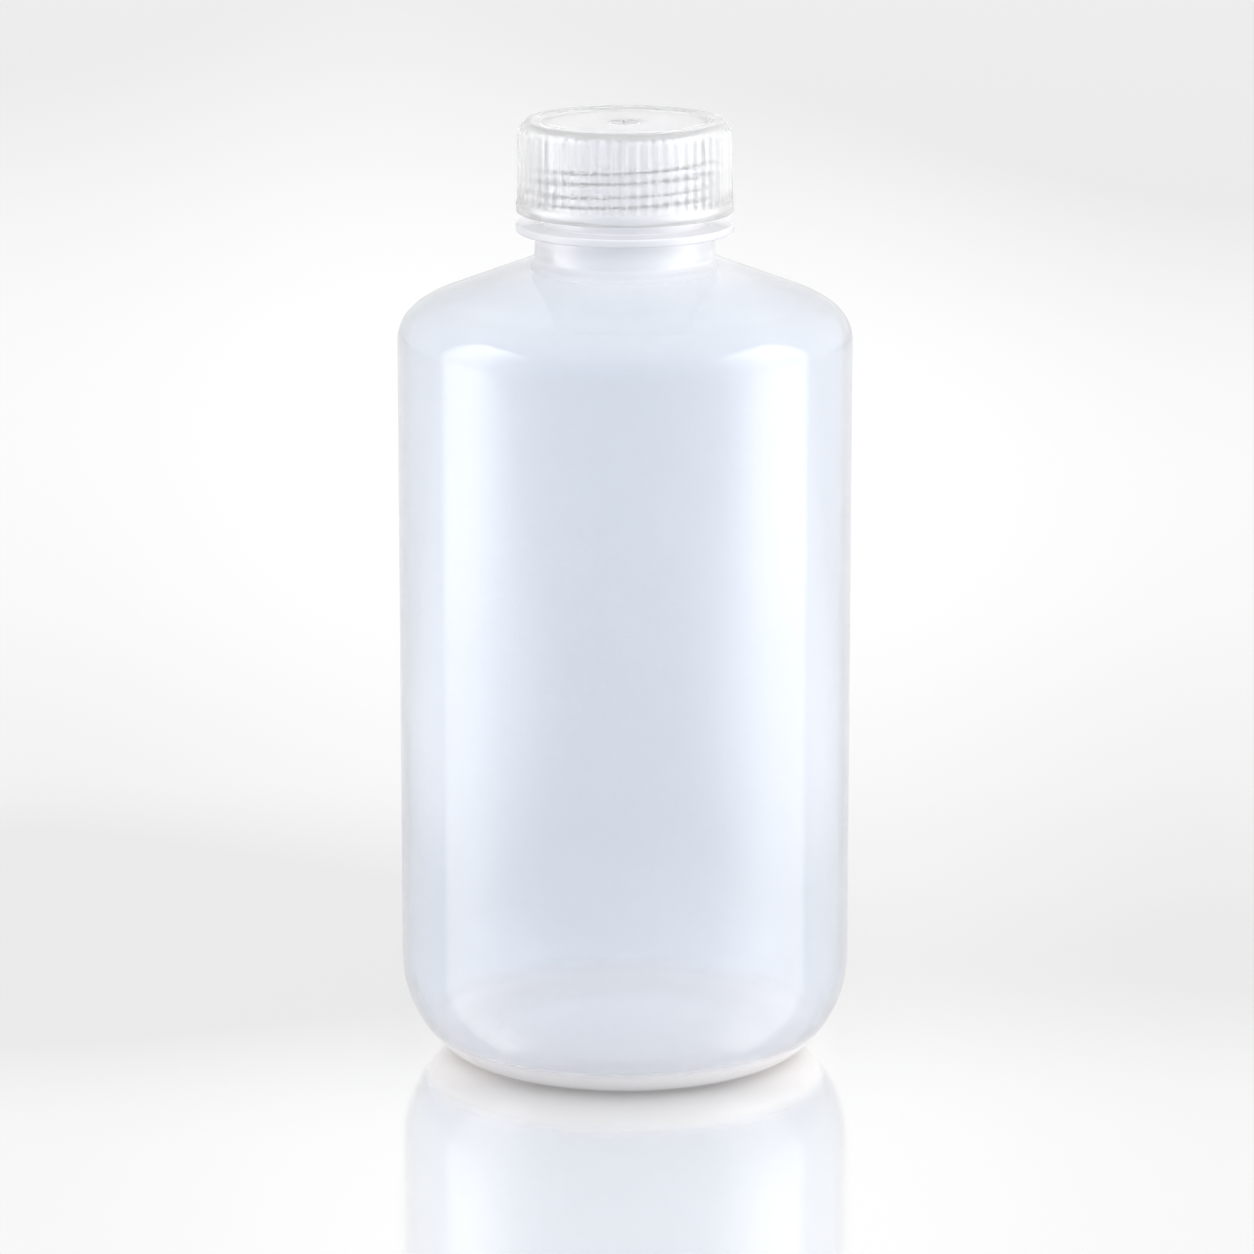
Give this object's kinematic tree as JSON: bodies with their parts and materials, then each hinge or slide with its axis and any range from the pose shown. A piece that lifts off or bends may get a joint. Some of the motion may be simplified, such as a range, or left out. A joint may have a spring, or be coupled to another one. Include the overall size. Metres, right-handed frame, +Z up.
{
  "type": "narrow mouth reagent bottle",
  "caption": "Round plastic bottle with a sloped shoulder, a narrow threaded neck and a fluted screw cap, for storing liquid reagents.",
  "frame": {"origin": "centre of the base, in the plane that the standing ring rests on", "axes": "+Z up along the axis of the bottle and its cap, -Y towards the camera of the picture"},
  "size_m": [0.061, 0.061, 0.1283],
  "materials": {
    "bottle_plastic": "natural translucent polyethylene, satin gloss",
    "cap_plastic": "natural milky polypropylene, satin gloss"
  },
  "bodies": {
    "bottle": {"bottle": "bottle_plastic"},
    "cap": {"cap": "cap_plastic"}
  },
  "joints": [
    {"name": "cap_lift", "type": "slide", "parent": "bottle", "child": "cap", "axis": [0, 0, 1], "range_m": [0, 0.03]}
  ]
}
